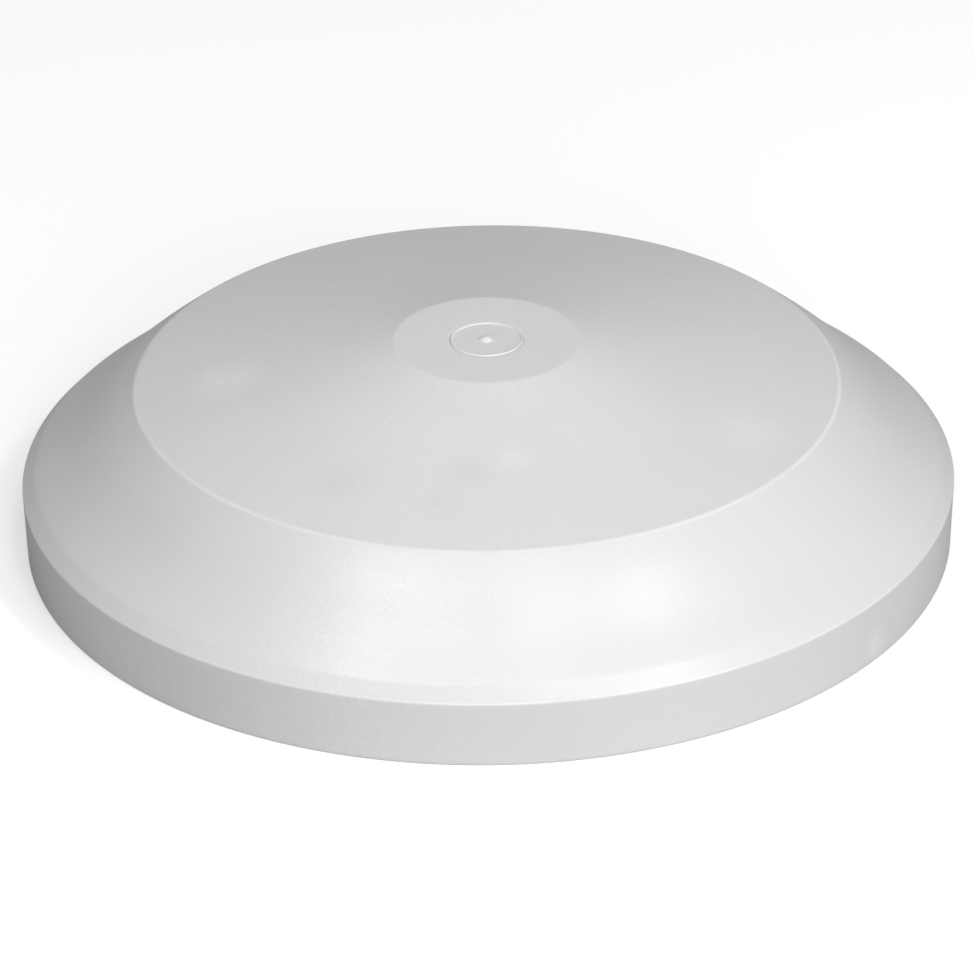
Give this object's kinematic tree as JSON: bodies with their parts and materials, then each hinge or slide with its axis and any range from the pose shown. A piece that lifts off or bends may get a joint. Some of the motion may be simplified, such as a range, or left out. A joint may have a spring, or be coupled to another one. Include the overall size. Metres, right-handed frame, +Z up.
{
  "type": "fence post cap",
  "caption": "Round plastic cap for a timber fence post: flat crown, shallow cone, steeper band and short skirt, with a centre screw, washer and seal under a push-in cover.",
  "frame": {"origin": "on the cap's axis, in the plane of the skirt's lower edge", "axes": "+Z up along the cap's axis, through the crown"},
  "size_m": [0.2, 0.2, 0.0458],
  "materials": {
    "white_plastic": "off-white satin polypropylene with a fine grain",
    "zinc_steel": "bright zinc plated",
    "black_rubber": "black EPDM"
  },
  "bodies": {
    "cap": {"cap_shell": "white_plastic", "fixing_screw": "zinc_steel", "steel_washer": "zinc_steel", "washer_seal": "black_rubber"},
    "cover": {"screw_cover": "white_plastic"}
  },
  "joints": [
    {"name": "cover_pull", "type": "slide", "parent": "cap", "child": "cover", "axis": [0, 0, 1], "range_m": [0, 0.012]}
  ]
}
